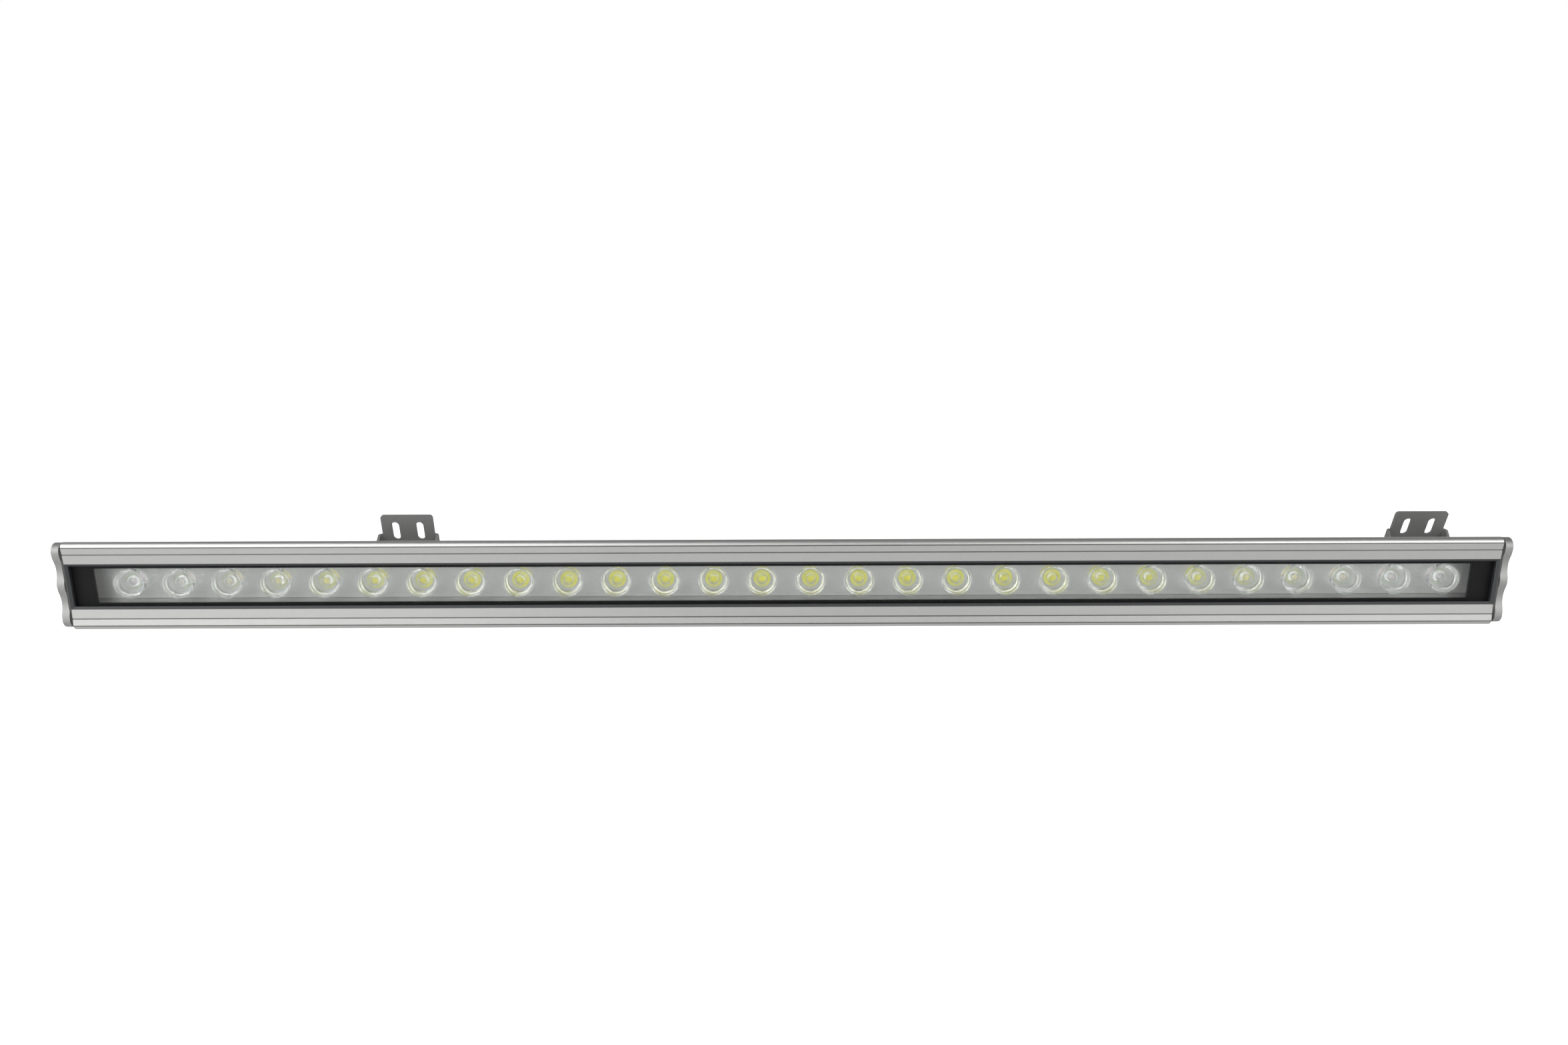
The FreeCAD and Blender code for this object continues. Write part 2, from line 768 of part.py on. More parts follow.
# ---------------------------------------------------------------- ends
def cap_half():
    """Upper half of a cap's outline: three crests and two troughs along its front."""
    middle, span, rise = d.wave_middle, wave_half_span, d.wave_rise
    bend = span * span / (rise * 2) + rise / 2
    first = d.centre_span
    second = first + span * 2
    crest = second + span
    side_z = crest + d.cap_corner * cosine(d.side_angle)
    side_y = middle - rise + d.cap_corner + d.cap_corner * sine(d.side_angle)
    rear_y = d.housing_depth - d.cap_rear_setback
    return [
        (depth(middle), first, "left", bend),
        (depth(middle), second, "right", bend),
        (depth(middle - rise), crest, "right", d.cap_corner),
        (depth(side_y), side_z),
        (depth(rear_y), side_z - (rear_y - side_y) * slope),
    ]


def gasket_half():
    inset = d.gasket_inset
    front = d.gasket_front
    corner_y = front + d.gasket_corner
    line = side_at(corner_y, inset)
    corner_z = line - d.gasket_corner / cosine(d.side_angle)
    rear_y = d.housing_depth - d.cap_rear_setback
    return [
        (depth(front), corner_z, "right", d.gasket_corner),
        (
            depth(corner_y + d.gasket_corner * sine(d.side_angle)),
            corner_z + d.gasket_corner * cosine(d.side_angle),
        ),
        (depth(rear_y), side_at(rear_y, inset)),
    ]


def end_plate(name, half, middle, inner, thickness, hand):
    """A plate across one end of the housing; hand is 1 at the right and -1 at the left."""
    body = new_body(name)
    sketch = new_sketch(body, "YZ_Plane", inner * hand)
    outline(sketch, mirrored(half, middle))
    for y, z in ports:
        circle(sketch, depth(y), z, d.screw_diameter / 2 + d.screw_play)
    if hand < 0:
        circle(sketch, depth(gland_depth), 0, d.gland_thread_diameter / 2 + d.screw_fit)
    base = pad(body, sketch, thickness, reverse=hand < 0)
    rear_y, rear_z = half[-1][:2]

    def rear_corner(edge):
        spot = edge.CenterOfMass
        return along(edge, 0) and near(spot.y, rear_y) and near(abs(spot.z), rear_z)

    round_edges(body, base, rear_corner, d.cap_rear_corner)
    keep(name, body)


def build_ends():
    centre_rise = d.wave_rise * d.centre_span / wave_half_span
    centre_bend = d.centre_span * d.centre_span / (centre_rise * 2) + centre_rise / 2
    cap_inner = half_housing + d.gasket_thickness
    outward = cap_inner + d.cap_thickness
    shank = cylinder("cap_screw_shank", d.screw_diameter / 2, d.screw_length)
    head = prism("cap_screw_head", d.screw_head, d.screw_head_height, z=-d.screw_head_height)
    screw = fuse("cap_screw", [shank, head])
    screws = []
    for side, hand in (("left", -1), ("right", 1)):
        end_plate(
            f"end_gasket_{side}", gasket_half(), None, half_housing, d.gasket_thickness, hand
        )
        cap = f"end_cap_{side}"
        crest = ("right", centre_bend)
        end_plate(cap, cap_half(), crest, cap_inner, d.cap_thickness, hand)
        inward = Rotation(Vector(0, 1, 0), -90 * hand)
        screws += [{"x": outward * hand, "y": depth(y), "z": z, "turn": inward} for y, z in ports]
    copies("cap_screws", [screw], screws)


# ---------------------------------------------------------------- cable gland
def turned(name, profile, start):
    """A piece turned about the gland's axis; profile is (distance outward, radius) corners."""
    body = new_body(name)
    sketch = new_sketch(body, "XY_Plane")
    outline(sketch, profile)
    revolve(body, sketch, "H_Axis")
    place(body, x=start, y=depth(gland_depth))
    return body


def build_gland():
    face = -(half_housing + d.gasket_thickness + d.cap_thickness)
    thread_end = d.gasket_thickness + d.cap_thickness - d.gland_thread_short
    core, thread, neck = d.gland_core / 2, d.gland_thread_diameter / 2, d.gland_neck_diameter / 2
    nut_start = d.gland_hex_height + d.gland_nut_gap
    nut_end = nut_start + d.gland_nut_height
    room_end = nut_end - d.gland_nut_wall
    neck_end = room_end - d.seal_length
    turn = Rotation(Vector(0, 1, 0), -90)
    at_axis = {"y": depth(gland_depth), "turn": turn}
    play, zero = d.screw_fit, as_size(0)

    tube = turned(
        "gland_tube",
        [
            (thread_end, core),
            (thread_end, thread),
            (zero, thread),
            (zero, neck),
            (-neck_end, neck),
            (-neck_end, core),
        ],
        face,
    )
    blank = prism("gland_hexagon", d.gland_hex, d.gland_hex_height, x=face, **at_axis)
    hole = cylinder("gland_collar_hole", neck, d.gland_hex_height, x=face, **at_axis)
    keep("gland_body", fuse("gland_body_whole", [tube, cut("gland_collar", blank, hole)]))

    mouth = d.gland_nut_mouth / 2
    blank = prism("gland_nut_blank", d.gland_hex, d.gland_nut_height, x=face - nut_start, **at_axis)
    hollow = turned(
        "gland_nut_hollow",
        [
            (-nut_start, zero),
            (-nut_start, neck + play),
            (-room_end, neck + play),
            (-room_end, mouth),
            (-nut_end, mouth),
            (-nut_end, zero),
        ],
        face,
    )
    keep("gland_nut", cut("gland_nut_whole", blank, hollow))

    hole = d.seal_bore / 2
    keep(
        "gland_seal",
        turned(
            "gland_seal",
            [(-neck_end, hole), (-neck_end, neck), (-room_end, neck), (-room_end, hole)],
            face,
        ),
    )


# ---------------------------------------------------------------- brackets
def fold(body, blank, outside, inside):
    """Round a U of sheet metal along its bends, whose edges run along Z at these corners."""

    def bend_at(corner):
        x, y = corner
        return lambda edge: (
            along(edge, 2)
            and near(edge.CenterOfMass.y, y)
            and near(abs(edge.CenterOfMass.x), x)
        )

    folded = round_edges(body, blank, bend_at(outside), d.bend + d.sheet)
    return round_edges(body, folded, bend_at(inside), d.bend)


def build_clip():
    """U-shaped steel clip, at X 0, with its base on the rear face."""
    base = new_body("clip_master")
    sketch = new_sketch(base, "XY_Plane")
    half, reach = d.clip_width / 2, d.pivot_reach + d.ear_round
    inner = half - d.sheet
    outline(
        sketch,
        [
            (-half, as_size(0)),
            (half, as_size(0)),
            (half, reach),
            (inner, reach),
            (inner, d.sheet),
            (-inner, d.sheet),
            (-inner, reach),
            (-half, reach),
        ],
    )
    blank = pad(base, sketch, d.clip_height, side="Symmetric")
    folded = fold(base, blank, (half, 0), (inner, d.sheet))

    def ear_corner(edge):
        return along(edge, 0) and near(edge.CenterOfMass.y, reach)

    bevel_edges(base, folded, ear_corner, d.clip_bevel)
    hole = new_sketch(base, "YZ_Plane")
    circle(hole, d.pivot_reach, 0, d.pivot_diameter / 2 + d.thread_fit)
    cut_through(base, hole)
    hole = new_sketch(base, "XZ_Plane")
    circle(hole, 0, 0, d.pivot_diameter / 2 + d.pivot_fit)
    cut_through(base, hole)
    return base


def build_bracket():
    """Swivel bracket about its pivot, upright: a slotted plate with two ears bent forward."""
    body = new_body("bracket_master")
    profile = new_sketch(body, "XY_Plane", -d.plate_bottom)
    half = d.clip_width / 2 + d.ear_play + d.sheet
    inner = half - d.sheet
    front = -d.ear_round
    back = d.plate_back
    inside = back - d.sheet
    outline(
        profile,
        [
            (-half, front),
            (-inner, front),
            (-inner, inside),
            (inner, inside),
            (inner, front),
            (half, front),
            (half, back),
            (-half, back),
        ],
    )
    blank = pad(body, profile, d.plate_bottom + d.ear_top)
    fold(body, blank, (half, back), (inner, inside))

    tab = new_sketch(body, "XZ_Plane", -inside)
    wide, corner = d.plate_width / 2, d.plate_corner
    low = d.ear_top - d.sheet
    outline(
        tab,
        [
            (-wide, low),
            (wide, low),
            (wide, d.plate_top - corner, "left", corner),
            (wide - corner, d.plate_top),
            (corner - wide, d.plate_top, "left", corner),
            (-wide, d.plate_top - corner),
        ],
    )
    pad(body, tab, d.sheet, reverse=True)

    slots = new_sketch(body, "XZ_Plane")
    radius = d.slot_width / 2
    high = d.plate_top - d.slot_margin - radius
    deep = high - d.slot_length + d.slot_width
    for sign in (1, -1):
        middle = d.slot_pitch / 2 * sign
        outline(
            slots,
            [
                (middle - radius, deep, "left", radius),
                (middle, deep - radius, "left", radius),
                (middle + radius, deep),
                (middle + radius, high, "left", radius),
                (middle, high + radius, "left", radius),
                (middle - radius, high),
            ],
        )
    cut_through(body, slots)

    trim = new_sketch(body, "YZ_Plane")
    for sign, limit in ((1, d.ear_top), (-1, d.plate_bottom)):
        ear_trim(trim, inside - d.bend, limit, sign)
    cut_through(body, trim)

    hole = new_sketch(body, "YZ_Plane")
    circle(hole, 0, 0, d.pivot_diameter / 2 + d.pivot_fit)
    cut_through(body, hole)
    return body


def ear_trim(sketch, root, limit, sign):
    """The waste above or below an ear, which narrows from the plate to a round end."""
    radius = d.ear_round.value
    away = math.hypot(root.value, limit.value)
    turn = math.acos(radius / away) + math.atan2(limit.value, root.value)
    distance = f"sqrt({root.text}^2 + {limit.text}^2)"
    angle = f"(acos({d.ear_round.text} / {distance}) + atan2({limit.text}; {root.text}))"
    touch_y = Size(radius * math.cos(turn), f"({d.ear_round.text} * cos({angle}))")
    touch_z = Size(radius * math.sin(turn), f"({d.ear_round.text} * sin({angle}))")
    spare = d.sheet
    side = "left" if sign > 0 else "right"
    outline(
        sketch,
        [
            (root, limit * sign),
            (root, (limit + spare) * sign),
            (-(d.ear_round + spare), (limit + spare) * sign),
            (-(d.ear_round + spare), as_size(0)),
            (-d.ear_round, as_size(0), "right" if side == "left" else "left", d.ear_round),
            (touch_y, touch_z * sign),
        ],
    )


def build_fasteners():
    """Masters of the bolts and the nut, at X 0 and about their own seats."""
    rearward = Rotation(Vector(1, 0, 0), -90)
    radius = d.pivot_diameter / 2
    seat = -d.track_lip - d.track_play
    head = prism(
        "track_head", d.hexagon, d.bolt_head_height, y=seat - d.bolt_head_height, turn=rearward
    )
    stack = d.sheet + d.nut_height + d.thread_tail
    shank = cylinder("track_shank", radius, stack - seat, y=seat, turn=rearward)
    track_bolt = fuse("track_bolt_master", [head, shank])
    block = prism("nut_block", d.hexagon, d.nut_height)
    hole = cylinder("nut_hole", radius + d.thread_fit, d.nut_height)
    nut = cut("nut_master", block, hole)

    head = prism("pivot_head", d.hexagon, d.bolt_head_height)
    grip = d.head_play + d.sheet + d.ear_play + d.sheet + d.thread_tail
    shank = cylinder("pivot_shank", radius, grip, z=d.bolt_head_height)
    pivot_bolt = fuse("pivot_bolt_master", [head, shank])
    return rearward, track_bolt, nut, pivot_bolt


def build_brackets():
    clip = build_clip()
    bracket = build_bracket()
    rearward, track_bolt, nut, pivot_bolt = build_fasteners()
    bracket_ear = d.clip_width / 2 + d.ear_play + d.sheet
    head_out = bracket_ear + d.head_play + d.bolt_head_height
    pivot = d.pivot_reach
    left_at = d.left_end - half_housing
    right_at = half_housing - d.right_end
    for side, at, tilt in (("left", left_at, d.left_tilt), ("right", right_at, d.right_tilt)):
        copies(f"track_clip_{side}", [clip], [{"x": at}])
        copies(f"track_bolt_{side}", [track_bolt], [{"x": at}])
        copies(f"track_nut_{side}", [nut], [{"x": at, "y": d.sheet, "turn": rearward}])
        copies(f"swivel_bracket_{side}", [bracket], [{"x": at, "y": pivot, "tilt": tilt}])
        bolts = []
        for hand in (1, -1):
            inward = Rotation(Vector(0, 1, 0), -90 * hand)
            bolts.append({"x": at + head_out * hand, "y": pivot, "turn": inward})
        copies(f"pivot_bolts_{side}", [pivot_bolt], bolts)


def check_and_write():
    """Stop on any failed object or bad shape, then write one STEP file for each node."""
    doc.recompute()
    for item in doc.Objects:
        if "Invalid" in item.State or "Error" in item.State:
            raise RuntimeError(f"{item.Label} failed: {item.State}")
    os.makedirs("parts", exist_ok=True)
    for name, item in nodes.items():
        shape = item.Shape
        if shape.isNull() or not shape.isValid() or not shape.Solids:
            raise RuntimeError(f"{name} has no valid solid")
    for name, item in nodes.items():
        shape = item.Shape
        solid = shape.Solids[0] if len(shape.Solids) == 1 else shape
        solid.exportStep(f"parts/{name}.step")
        print(f"{name}: {len(shape.Solids)} solids, {shape.Volume:.1f} mm3")


build_housing()
build_window()
build_light_engine()
build_driver()
build_ends()
build_gland()
build_brackets()
check_and_write()
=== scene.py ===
import bpy
import bmesh
import math
from mathutils import Matrix, Vector


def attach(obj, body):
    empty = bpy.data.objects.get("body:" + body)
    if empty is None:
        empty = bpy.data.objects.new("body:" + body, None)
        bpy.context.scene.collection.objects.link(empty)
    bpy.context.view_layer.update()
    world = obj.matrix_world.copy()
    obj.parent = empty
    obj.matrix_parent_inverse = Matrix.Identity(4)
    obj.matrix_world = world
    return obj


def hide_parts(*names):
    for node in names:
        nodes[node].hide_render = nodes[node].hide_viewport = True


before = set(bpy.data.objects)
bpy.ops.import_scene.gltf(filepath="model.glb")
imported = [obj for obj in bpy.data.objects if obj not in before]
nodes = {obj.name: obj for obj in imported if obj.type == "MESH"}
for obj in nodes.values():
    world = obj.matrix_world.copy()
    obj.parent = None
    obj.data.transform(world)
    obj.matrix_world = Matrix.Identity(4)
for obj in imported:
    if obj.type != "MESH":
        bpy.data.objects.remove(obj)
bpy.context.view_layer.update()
scene = bpy.context.scene

MM = 0.001
LENS_COUNT = 28
LENS_PITCH = 33.9
FIRST_LENS = -454.75  # mm, as the other lengths
LENS_X = [FIRST_LENS + LENS_PITCH * k for k in range(LENS_COUNT)]
BOARD_Y = -26.6  # front of the LED board
GLASS_BACK_Y = -38.85
GROOVES_AT = (23.15, 28.2)  # decorative grooves, from the middle of the face
GROOVE_HALF = 0.42  # half of the width of the painted groove shade
FACE_Y = -40.0  # only the front face lies ahead of this
GLASS_EDGES = (492.4, 15.8, -15.8)  # half length, top and bottom
VIEW_EDGES = (476.0, 11.83, -12.9)  # the same for the clear view inside the print


# ---------------------------------------------------------------- small helpers
class Nodes:
    """A short way to write a material's node tree."""

    def __init__(self, name):
        self.mat = bpy.data.materials.new(name)
        self.mat.use_nodes = True
        self.tree = self.mat.node_tree
        self.tree.nodes.clear()
        self.out = self.add("ShaderNodeOutputMaterial")

    def add(self, kind, **settings):
        node = self.tree.nodes.new(kind)
        for key, value in settings.items():
            setattr(node, key, value)
        return node

    def link(self, source, target):
        self.tree.links.new(source, target)

    def coords(self):
        return self.add("ShaderNodeTexCoord").outputs["Object"]

    def noise(self, scale, detail=2.0, rough=0.5):
        node = self.add("ShaderNodeTexNoise")
        node.inputs["Scale"].default_value = scale
        node.inputs["Detail"].default_value = detail
        node.inputs["Roughness"].default_value = rough
        self.link(self.coords(), node.inputs["Vector"])
        return node.outputs["Fac"]

    def ramp(self, fac, *stops):
        node = self.add("ShaderNodeValToRGB")
        ramp = node.color_ramp
        while len(ramp.elements) < len(stops):
            ramp.elements.new(0.5)
        for element, (place, colour) in zip(ramp.elements, stops):
            element.position = place
            element.color = (*colour, 1.0) if isinstance(colour, tuple) else (colour, colour, colour, 1.0)
        self.link(fac, node.inputs["Fac"])
        return node.outputs["Color"]

    def span(self, fac, low, high, start=0.0, end=1.0):
        node = self.add("ShaderNodeMapRange")
        for key, value in (("From Min", start), ("From Max", end), ("To Min", low), ("To Max", high)):
            node.inputs[key].default_value = value
        self.link(fac, node.inputs["Value"])
        return node.outputs["Result"]

    def bump(self, height, strength, distance):
        node = self.add("ShaderNodeBump")
        node.inputs["Strength"].default_value = strength
        node.inputs["Distance"].default_value = distance
        self.link(height, node.inputs["Height"])
        return node.outputs["Normal"]

    def principled(self, **values):
        shader = self.add("ShaderNodeBsdfPrincipled")
        for key, value in values.items():
            socket = shader.inputs[key.replace("_", " ")]
            if isinstance(value, bpy.types.NodeSocket):
                self.link(value, socket)
            elif isinstance(value, tuple):
                socket.default_value = (*value, 1.0)
            else:
                socket.default_value = value
        return shader.outputs["BSDF"]

    def finish(self, shader):
        self.link(shader, self.out.inputs["Surface"])
        return self.mat


def dress(node, material):
    """Give a carried-over CAD node its finished material."""
    mesh = nodes[node].data
    mesh.materials.clear()
    mesh.materials.append(material)


def new_piece(name, mesh, material, body, replaced=(), smooth=None):
    obj = bpy.data.objects.new(name, mesh)
    scene.collection.objects.link(obj)
    mesh.materials.clear()
    mesh.materials.append(material)
    if smooth is not None:
        mesh.shade_smooth()
        mesh.set_sharp_from_angle(angle=math.radians(smooth))
    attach(obj, body)
    if replaced:
        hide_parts(*replaced)
    return obj


def softened(node, material, body, width):
    """The CAD node's own mesh with rounded edges."""
    obj = new_piece(f"{node}_rounded", nodes[node].data.copy(), material, body, (node,), 35)
    bevel = obj.modifiers.new("edge_round", "BEVEL")
    bevel.width = width * MM
    bevel.segments = 3
    bevel.limit_method = "ANGLE"
    bevel.angle_limit = math.radians(40)
    bevel.harden_normals = True


def turned_mesh(name, profile, places, segments=48):
    """Turn (radius, forward) corners in mm about the light's axis, at each (x, y, z)."""
    bm = bmesh.new()
    for place in places:
        rings = []
        for radius, forward in profile:
            if radius < 1e-6:
                rings.append([bm.verts.new((place[0] * MM, (place[1] - forward) * MM, place[2] * MM))])
                continue
            ring = []
            for k in range(segments):
                angle = 2 * math.pi * k / segments
                ring.append(
                    bm.verts.new(
                        (
                            (place[0] + radius * math.cos(angle)) * MM,
                            (place[1] - forward) * MM,
                            (place[2] + radius * math.sin(angle)) * MM,
                        )
                    )
                )
            rings.append(ring)
        for low, high in zip(rings, rings[1:]):
            for k in range(segments):
                after = (k + 1) % segments
                if len(low) == 1:
                    bm.faces.new((low[0], high[after], high[k]))
                elif len(high) == 1:
                    bm.faces.new((low[k], low[after], high[0]))
                else:
                    bm.faces.new((low[k], low[after], high[after], high[k]))
    bmesh.ops.recalc_face_normals(bm, faces=bm.faces)
    mesh = bpy.data.meshes.new(name)
    bm.to_mesh(mesh)
    bm.free()
    return mesh


# ---------------------------------------------------------------- materials
def painted_groove_shade(m):
    """1 on the face and 0.5 in the decorative grooves: painted shade in the grooves, which show as dark
    lines.
    """
    split = m.add("ShaderNodeSeparateXYZ")
    m.link(m.coords(), split.inputs[0])

    def step(kind, first, second):
        node = m.add("ShaderNodeMath", operation=kind)
        m.link(first, node.inputs[0])
        if isinstance(second, bpy.types.NodeSocket):
            m.link(second, node.inputs[1])
        else:
            node.inputs[1].default_value = second
        return node.outputs[0]

    height = step("ABSOLUTE", split.outputs["Z"], 0.0)
    lines = []
    for place in GROOVES_AT:
        away = step("ABSOLUTE", step("SUBTRACT", height, place * MM), 0.0)
        lines.append(step("LESS_THAN", away, GROOVE_HALF * MM))
    front = step("LESS_THAN", split.outputs["Y"], FACE_Y * MM)
    groove = step("MULTIPLY", step("MAXIMUM", *lines), front)
    return m.span(groove, 1.0, 0.5)


def anodised(name, colour, rough, grain=1.0, shade_grooves=False):
    m = Nodes(name)
    fine = m.noise(2300, 3.0, 0.7)
    broad = m.noise(14, 3.0, 0.5)
    shade = m.span(fine, colour * 0.93, colour * 1.06, 0.3, 0.7)
    drift = m.span(broad, 0.985, 1.015, 0.3, 0.7)
    mix = m.add("ShaderNodeMath", operation="MULTIPLY")
    m.link(shade, mix.inputs[0])
    m.link(drift, mix.inputs[1])
    # painted shade: the colour is darkened in the grooves
    if shade_grooves:
        dark = m.add("ShaderNodeMath", operation="MULTIPLY")
        m.link(mix.outputs[0], dark.inputs[0])
        m.link(painted_groove_shade(m), dark.inputs[1])
        mix = dark
    tint = m.add("ShaderNodeCombineColor")
    for index, factor in enumerate((1.0, 1.0, 0.985)):
        scaled = m.add("ShaderNodeMath", operation="MULTIPLY")
        m.link(mix.outputs[0], scaled.inputs[0])
        scaled.inputs[1].default_value = factor
        m.link(scaled.outputs[0], tint.inputs[index])
    roughness = m.span(fine, rough - 0.05, rough + 0.06, 0.3, 0.7)
    normal = m.bump(fine, 0.35 * grain, 0.00012)
    return m.finish(
        m.principled(Base_Color=tint.outputs[0], Metallic=1.0, Roughness=roughness, Normal=normal)
    )


def plain(name, colour, rough, bump=0.0, scale=900, metallic=0.0, variation=0.08, specular=0.5):
    m = Nodes(name)
    grain = m.noise(scale, 3.0, 0.6)
    low = tuple(c * (1 - variation) for c in colour)
    high = tuple(min(c * (1 + variation), 1.0) for c in colour)
    shade = m.ramp(grain, (0.3, low), (0.7, high))
    values = {
        "Base_Color": shade,
        "Roughness": m.span(grain, rough - 0.04, rough + 0.04, 0.3, 0.7),
        "Metallic": metallic,
        "Specular_IOR_Level": specular,
    }
    if bump:
        values["Normal"] = m.bump(grain, bump, 0.0001)
    return m.finish(m.principled(**values))


def clear(name, tint, rough, ior, alpha=1.0):
    m = Nodes(name)
    wipe = m.noise(40, 3.0, 0.6)
    roughness = m.span(wipe, rough, rough + 0.015, 0.35, 0.7)
    return m.finish(
        m.principled(
            Base_Color=tint, Roughness=roughness, IOR=ior, Transmission_Weight=1.0, Alpha=alpha
        )
    )


aluminium = anodised("anodised_aluminium", 0.64, 0.42, shade_grooves=True)
cast = anodised("cast_aluminium", 0.44, 0.6, 1.3)
glass = clear("front_glass", (0.985, 1.0, 0.995), 0.0, 1.5, alpha=0.12)
black_print = plain("black_print", (0.006, 0.006, 0.0065), 0.6, 0.05, specular=0.2)
sealant = plain("sealant", (0.045, 0.048, 0.050), 0.5, 0.3, 500)
board_white = plain("board_white", (0.62, 0.635, 0.62), 0.45, 0.05, 700, variation=0.04)
thermal = plain("thermal_strip", (0.45, 0.46, 0.48), 0.7, 0.2)
circuit = plain("circuit_board", (0.02, 0.14, 0.05), 0.35, 0.1)
coil = plain("coil_tape", (0.62, 0.46, 0.06), 0.4, 0.2)
terminal = plain("terminal_plastic", (0.03, 0.20, 0.06), 0.45, 0.1)
sleeve = plain("capacitor_sleeve", (0.02, 0.02, 0.03), 0.3, 0.05)
pin_metal = plain("pin_metal", (0.70, 0.62, 0.45), 0.3, 0.05, metallic=1.0)
rubber = plain("end_rubber", (0.075, 0.075, 0.073), 0.6, 0.5, 1800)
stainless = plain("stainless", (0.60, 0.59, 0.57), 0.32, 0.15, 1500, metallic=1.0)
polyamide = plain("gland_plastic", (0.02, 0.02, 0.021), 0.42, 0.3, 1800)
gland_rubber = plain("gland_rubber", (0.03, 0.03, 0.03), 0.65, 0.4, 1500)
steel = plain("bracket_steel", (0.25, 0.25, 0.247), 0.5, 0.35, 1300, metallic=0.35, variation=0.1)
acrylic = clear("lens_acrylic", (0.97, 0.99, 0.98), 0.0, 1.49, alpha=0.9)
lens_rim = clear("lens_rim", (0.98, 1.0, 0.99), 0.02, 1.49)


def painted_row_tone(name, middle, ends, start, end, rough):
    """Yellow over the middle of the row, paler toward its ends, with a fine grain; the fade along the row
    is painted light, a painted glare and reflection that stand in for how the lenses show the emitters at
    different angles.
    """
    m = Nodes(name)
    split = m.add("ShaderNodeSeparateXYZ")
    m.link(m.coords(), split.inputs[0])
    reach = m.add("ShaderNodeMath", operation="ABSOLUTE")
    m.link(split.outputs["X"], reach.inputs[0])
    across = m.span(reach.outputs[0], 0.0, 1.0, start, end)
    tone = m.ramp(across, (0.0, middle), (1.0, ends))
    grain = m.noise(2500, 2.0)
    return m.finish(
        m.principled(
            Base_Color=tone, Roughness=m.span(grain, rough - 0.05, rough + 0.05, 0.3, 0.7), Coat_Weight=0.4
        )
    )


# yellow in the middle is the phosphor's own colour; the pinkish white toward the ends is a painted glare
phosphor = painted_row_tone("phosphor", (0.92, 0.88, 0.04), (1.0, 0.88, 0.94), 0.28, 0.44, 0.2)
# painted reflection: yellow rings standing in for the emitters seen through the lenses, greyer toward the
# ends
painted_emitter_ring = painted_row_tone("painted_emitter_ring_tone", (0.80, 0.78, 0.05), (0.50, 0.54, 0.44), 0.20, 0.40, 0.35)

for node, material in (
    ("housing", aluminium),
    ("front_glass", glass),
    ("glass_seal", sealant),
    ("led_board", board_white),
    ("thermal_strip", thermal),
    ("driver_board", circuit),
    ("driver_coil", coil),
    ("driver_terminals", terminal),
    ("driver_capacitor", sleeve),
    ("led_pins", pin_metal),
    ("end_gasket_left", rubber),
    ("end_gasket_right", rubber),
    ("cap_screws", stainless),
    ("gland_body", polyamide),
    ("gland_nut", polyamide),
    ("gland_seal", gland_rubber),
):
    dress(node, material)
for side in ("left", "right"):
    dress(f"track_clip_{side}", steel)
    for piece in ("track_bolt", "track_nut", "pivot_bolts"):
        dress(f"{piece}_{side}", stainless)
    softened(f"end_cap_{side}", cast, "lamp", 0.7)
    softened(f"swivel_bracket_{side}", steel, f"{side}_bracket", 0.35)


# ---------------------------------------------------------------- lenses and emitters
def build_lenses():
    """The lens bodies, their rims, the yellow rings under them, which are a painted reflection of the
    emitters seen through the lenses, and the emitters.
    """
    foot, well, tall, edge, reach = 5.8, 4.1, 10.2, 10.2, 10.85
    lift, steps = 0.35, 12
    side = []
    for k in range(1, steps + 1):
        angle = math.pi / 2 * k / steps
        side.append((foot + (edge - foot) * math.sin(angle) ** 0.9, tall * (1 - math.cos(angle))))
    hollow = [(0.0, 4.6), (1.0, 4.7), (1.9, 5.0), (2.8, 5.3), (3.3, 5.3), (well, lift)]
    front = [(edge, tall + 0.8), (9.6, tall + 1.0), (5.0, tall + 1.1), (0.0, tall + 1.15)]
    spots = [(x, BOARD_Y, 0.0) for x in LENS_X]
    mesh = turned_mesh("lenses_clear", hollow + [(foot, lift)] + side + front, spots, 64)
    new_piece("lenses_clear", mesh, acrylic, "lamp", ("lenses",), smooth=28)

    middle, half_width, half_height = tall + 0.65, 0.45, 0.55
    ring = []
    for k in range(steps + 1):
        angle = 2 * math.pi * k / steps
        radius = reach - half_width + half_width * math.cos(angle)
        ring.append((radius, middle + half_height * math.sin(angle)))
    mesh = turned_mesh("lens_rims", ring, spots, 64)
    new_piece("lens_rims", mesh, lens_rim, "lamp", (), smooth=80)

    # a ring at each lens foot that carries the painted reflection of the emitter
    ring = [(well + 0.05, 0.0), (well + 0.05, 0.25), (foot - 0.1, 0.3), (foot, 0.2), (foot, 0.0)]
    mesh = turned_mesh("painted_emitter_rings", ring, spots, 48)
    new_piece("painted_emitter_rings", mesh, painted_emitter_ring, "lamp", (), smooth=40)

    dome = [(2.8, 0.0), (2.8, 0.15)]
    dome += [(2.75 * math.cos(a), 0.2 + 1.7 * math.sin(a)) for a in (0.1, 0.4, 0.7, 1.0, 1.3)]
    dome += [(0.0, 1.9)]
    mesh = turned_mesh("emitter_domes", dome, [(x, BOARD_Y - 0.3, 0.0) for x in LENS_X], 28)
    new_piece("emitter_domes", mesh, phosphor, "lamp", ("led_domes", "led_chips"), smooth=50)


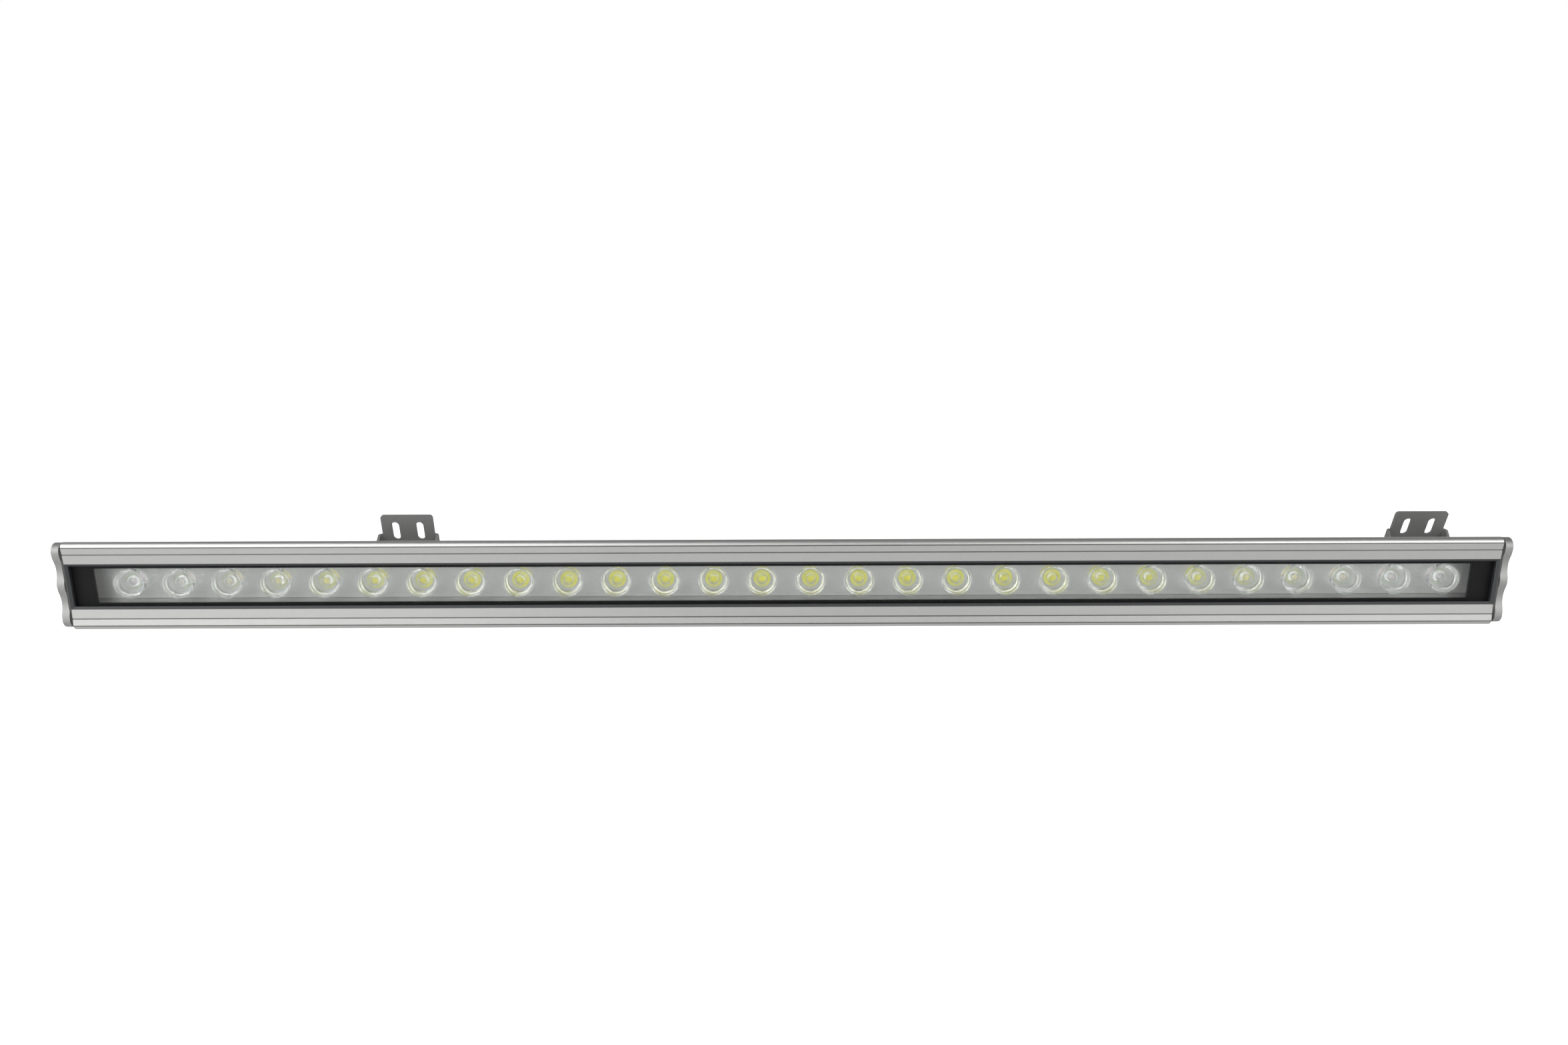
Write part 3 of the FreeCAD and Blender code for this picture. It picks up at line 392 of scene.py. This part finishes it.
def build_print():
    """Black border on the rear of the glass, with its clear view."""
    inside, thickness = 0.02, 0.05
    bm = bmesh.new()
    loops = []
    for x, top, bottom in (GLASS_EDGES, VIEW_EDGES):
        corners = [(-x, bottom), (x, bottom), (x, top), (-x, top)]
        back = (GLASS_BACK_Y - inside) * MM
        loops.append([bm.verts.new((px * MM, back, pz * MM)) for px, pz in corners])
    for k in range(4):
        after = (k + 1) % 4
        bm.faces.new((loops[0][k], loops[0][after], loops[1][after], loops[1][k]))
    extruded = bmesh.ops.extrude_face_region(bm, geom=bm.faces[:])
    moved = [item for item in extruded["geom"] if isinstance(item, bmesh.types.BMVert)]
    bmesh.ops.translate(bm, vec=(0, -thickness * MM, 0), verts=moved)
    bmesh.ops.recalc_face_normals(bm, faces=bm.faces)
    mesh = bpy.data.meshes.new("glass_print")
    bm.to_mesh(mesh)
    bm.free()
    new_piece("glass_print", mesh, black_print, "lamp", ("window_mask",))


build_print()
build_lenses()


# ---------------------------------------------------------------- stage, light, camera
def build_stage():
    m = Nodes("pale_floor")
    grain = m.noise(3, 2.0)
    shade = m.ramp(grain, (0.3, 0.88), (0.7, 0.90))
    matt = m.principled(Base_Color=shade, Roughness=0.9, Specular_IOR_Level=0.1)
    path = m.add("ShaderNodeLightPath")
    seen = m.add("ShaderNodeMath", operation="MAXIMUM")
    m.link(path.outputs["Is Camera Ray"], seen.inputs[0])
    m.link(path.outputs["Is Transmission Ray"], seen.inputs[1])
    glow = m.add("ShaderNodeEmission")
    m.link(m.span(seen.outputs[0], 0.0, 1.0), glow.inputs["Strength"])
    both = m.add("ShaderNodeAddShader")
    m.link(matt, both.inputs[0])
    m.link(glow.outputs[0], both.inputs[1])
    floor_mat = m.finish(both.outputs[0])
    bpy.ops.mesh.primitive_plane_add(size=60, location=(0, 20, -0.6))
    floor = bpy.context.object
    floor.name = "floor"
    floor.data.materials.append(floor_mat)

    world = bpy.data.worlds.new("studio")
    scene.world = world
    world.use_nodes = True
    tree = world.node_tree
    tree.nodes.clear()
    out = tree.nodes.new("ShaderNodeOutputWorld")
    path = tree.nodes.new("ShaderNodeLightPath")
    coord = tree.nodes.new("ShaderNodeTexCoord")
    split = tree.nodes.new("ShaderNodeSeparateXYZ")
    tree.links.new(coord.outputs["Generated"], split.inputs[0])
    ramp = tree.nodes.new("ShaderNodeValToRGB")
    ramp.color_ramp.elements[0].position = 0.52
    ramp.color_ramp.elements[0].color = (1, 1, 1, 1)
    ramp.color_ramp.elements[1].position = 0.80
    ramp.color_ramp.elements[1].color = (0.30, 0.30, 0.30, 1)
    lift = tree.nodes.new("ShaderNodeMapRange")
    lift.inputs["From Min"].default_value = -1
    lift.inputs["From Max"].default_value = 1
    tree.links.new(split.outputs["Z"], lift.inputs["Value"])
    tree.links.new(lift.outputs["Result"], ramp.inputs["Fac"])
    soft = tree.nodes.new("ShaderNodeBackground")
    soft.inputs["Strength"].default_value = 0.75
    tree.links.new(ramp.outputs["Color"], soft.inputs["Color"])
    white = tree.nodes.new("ShaderNodeBackground")
    white.inputs["Color"].default_value = (1, 1, 1, 1)
    white.inputs["Strength"].default_value = 1.0
    mix = tree.nodes.new("ShaderNodeMixShader")
    tree.links.new(path.outputs["Is Camera Ray"], mix.inputs[0])
    tree.links.new(soft.outputs[0], mix.inputs[1])
    tree.links.new(white.outputs[0], mix.inputs[2])
    tree.links.new(mix.outputs[0], out.inputs[0])


def softbox(name, place, target, width, height, power):
    light = bpy.data.lights.new(name, "AREA")
    light.shape = "RECTANGLE"
    light.size = width
    light.size_y = height
    light.energy = power
    obj = bpy.data.objects.new(name, light)
    scene.collection.objects.link(obj)
    obj.location = place
    obj.rotation_euler = (Vector(target) - Vector(place)).to_track_quat("-Z", "Y").to_euler()


def build_camera():
    data = bpy.data.cameras.new("camera")
    data.sensor_fit = "HORIZONTAL"
    data.sensor_width = 36.0
    data.lens = 26.02
    data.clip_start = 0.01
    obj = bpy.data.objects.new("camera", data)
    scene.collection.objects.link(obj)
    pitch, turn = math.radians(90 - 14.87), math.radians(-0.215)
    look = Matrix.Rotation(pitch, 4, "X") @ Matrix.Rotation(turn, 4, "Z")
    obj.matrix_world = Matrix.Translation((0.0014, -0.7887, 0.2420)) @ look
    scene.camera = obj


build_stage()
softbox("key", (-1.3, -1.3, 0.9), (-0.35, 0, 0), 2.0, 2.0, 26)
softbox("fill", (1.4, -1.5, 0.7), (0.3, 0, 0), 1.2, 1.2, 13)
build_camera()
scene.view_settings.view_transform = "Standard"
